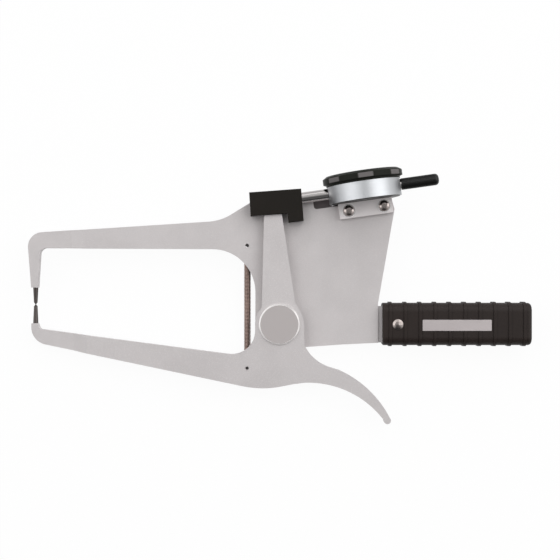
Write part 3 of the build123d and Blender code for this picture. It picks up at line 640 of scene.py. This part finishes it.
def dial_marks():
    """The long hand turns once for 2 mm between the tips, in hundredths, and the small one for 20 mm."""
    ticks("dial_ticks", OUTER_DIAL_EDGE, DIAL_DIVISIONS, DIAL_TICK_LENGTHS, DIAL_TICK_WIDTHS, "bezel_set")
    numerals(
        "dial_number", DIAL_NUMBERS, DIAL_NUMBER_STEP, DIAL_NUMBER_SIZE, DIAL_NUMBER_RADIUS, "bezel_set"
    )
    ticks(
        "counter_ticks", COUNTER_EDGE, COUNTER_DIVISIONS, COUNTER_TICK_LENGTHS, COUNTER_TICK_WIDTHS,
        "frame", COUNTER_AT,
    )
    numerals(
        "counter_number", COUNTER_NUMBERS, COUNTER_NUMBER_STEP, COUNTER_NUMBER_SIZE, COUNTER_NUMBER_RADIUS,
        "frame", COUNTER_AT,
    )


# The scene round the object

def backdrop_material():
    """White to the camera and in reflections, and still taking a trace of the object's shadow."""
    material, tree = new_material("floor_white")[:2]
    tree.nodes.clear()
    out = add(tree, "ShaderNodeOutputMaterial")
    matte = add(tree, "ShaderNodeBsdfDiffuse")
    matte.inputs["Color"].default_value = (0.9, 0.9, 0.9, 1)
    glow = add(tree, "ShaderNodeEmission")
    glow.inputs["Strength"].default_value = 1.0
    rays = add(tree, "ShaderNodeLightPath").outputs
    seen = combined(
        tree, "MAXIMUM", rays["Is Camera Ray"], rays["Is Glossy Ray"], rays["Is Transmission Ray"]
    )
    share = add(tree, "ShaderNodeMath", operation="MULTIPLY")
    share.inputs[1].default_value = FLOOR_WHITE_SHARE
    mix = add(tree, "ShaderNodeMixShader")
    tree.links.new(seen, share.inputs[0])
    tree.links.new(share.outputs["Value"], mix.inputs["Fac"])
    tree.links.new(matte.outputs["BSDF"], mix.inputs[1])
    tree.links.new(glow.outputs["Emission"], mix.inputs[2])
    tree.links.new(mix.outputs["Shader"], out.inputs["Surface"])
    return material


def lowest_along(normal, origin):
    """How far the object's lowest point is from an origin, measured up a normal."""
    points = (node.matrix_world @ v.co for node in nodes.values() for v in node.data.vertices)
    return min((point - origin).dot(normal) for point in points)


def floor():
    """A plane just under the instrument, parallel to the three places it lies on: rim, grip and jaw."""
    rim = Vector((GAUGE_CENTRE.x * MM, GAUGE_CENTRE.y * MM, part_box("bezel_ring")[0].z))
    grip_low, grip_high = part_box("handle_rear_scale")
    heel = Vector((grip_high.x, grip_low.y, grip_low.z + GRIP_LIFT * MM))
    jaw_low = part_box("lever_casting")[0]
    jaw = Vector((jaw_low.x, JAW_REST_Y * MM, jaw_low.z))
    normal = (heel - jaw).cross(rim - jaw).normalized()
    middle = (rim + heel + jaw) / 3
    middle += normal * (lowest_along(normal, middle) - FLOOR_GAP * MM)
    side = normal.orthogonal().normalized() * FLOOR_HALF
    other = normal.cross(side)
    corners = [middle + a * side + b * other for a, b in ((-1, -1), (1, -1), (1, 1), (-1, 1))]
    mesh = bpy.data.meshes.new("floor")
    mesh.from_pydata([tuple(c) for c in corners], [], [(0, 1, 2, 3)])
    mesh.materials.append(backdrop_material())
    placed("floor", mesh)


def room_direction(tree):
    """The direction of a ray into the room, whole and split into x, y and z."""
    place = add(tree, "ShaderNodeTexCoord")
    split = add(tree, "ShaderNodeSeparateXYZ")
    tree.links.new(place.outputs["Generated"], split.inputs["Vector"])
    return place.outputs["Generated"], split.outputs


def soft_light(tree):
    """The soft light of the room, stronger from above the picture than from below it."""
    return ranged(tree, room_direction(tree)[1]["Y"], *ROOM_UP)


def studio_glow(tree):
    """What metal reflects: a bright room above and at both sides, darker below and round the camera."""
    direction, split = room_direction(tree)
    sideways = add(tree, "ShaderNodeMath", operation="ABSOLUTE")
    spot = add(tree, "ShaderNodeVectorMath", operation="DISTANCE")
    spot.inputs[1].default_value = GLOW_DARK_SPOT
    tree.links.new(direction, spot.inputs[0])
    tree.links.new(split["X"], sideways.inputs[0])
    above = ranged(tree, split["Y"], *GLOW_UP)
    beside = ranged(tree, sideways.outputs["Value"], *GLOW_SIDEWAYS)
    away = ranged(tree, spot.outputs["Value"], *GLOW_AWAY)
    return combined(tree, "MULTIPLY", above, beside, away)


def world():
    """White behind the object, the studio in reflections, and a soft light on everything."""
    made = bpy.data.worlds.new("studio")
    bpy.context.scene.world = made
    made.use_nodes = True
    tree = made.node_tree
    background = tree.nodes["Background"]
    background.inputs["Color"].default_value = (1, 1, 1, 1)
    rays = add(tree, "ShaderNodeLightPath").outputs
    glossy = add(tree, "ShaderNodeMix", data_type="FLOAT")
    tree.links.new(rays["Is Glossy Ray"], glossy.inputs[0])
    tree.links.new(soft_light(tree), glossy.inputs[2])
    tree.links.new(studio_glow(tree), glossy.inputs[3])
    level = add(tree, "ShaderNodeMix", data_type="FLOAT")
    level.inputs[3].default_value = 1.0
    seen = combined(tree, "MAXIMUM", rays["Is Camera Ray"], rays["Is Transmission Ray"])
    tree.links.new(seen, level.inputs[0])
    tree.links.new(glossy.outputs[0], level.inputs[2])
    tree.links.new(level.outputs[0], background.inputs["Strength"])


def lights():
    """Area lamps turned toward the middle of the object."""
    for name, place, size, power in LAMPS:
        lamp = bpy.data.lights.new(name, "AREA")
        lamp.shape = "RECTANGLE"
        lamp.size, lamp.size_y = size
        lamp.energy = power
        made = placed(name, lamp)
        made.location = place
        made.rotation_mode = "QUATERNION"
        made.rotation_quaternion = (Vector(LAMP_TARGET) - Vector(place)).to_track_quat("-Z", "Y")


def camera():
    """The photograph's camera, looking straight down the row's z axis."""
    data = bpy.data.cameras.new("camera")
    data.sensor_width = SENSOR_WIDTH
    data.lens = SENSOR_WIDTH * CAMERA_DISTANCE / (PHOTO_PIXELS * PHOTO_SCALE)
    data.clip_start = CLIP_NEAR
    data.clip_end = CLIP_FAR
    made = placed("camera", data)
    made.location = Vector((CAMERA_X, CAMERA_Y, PHOTO_PLANE + CAMERA_DISTANCE)) * MM
    bpy.context.scene.camera = made


dress_nodes()
soften_edges()
return_spring()
hairspring()
pull_spring()
dial_marks()
floor()
world()
lights()
camera()
bpy.context.scene.view_settings.view_transform = "Standard"
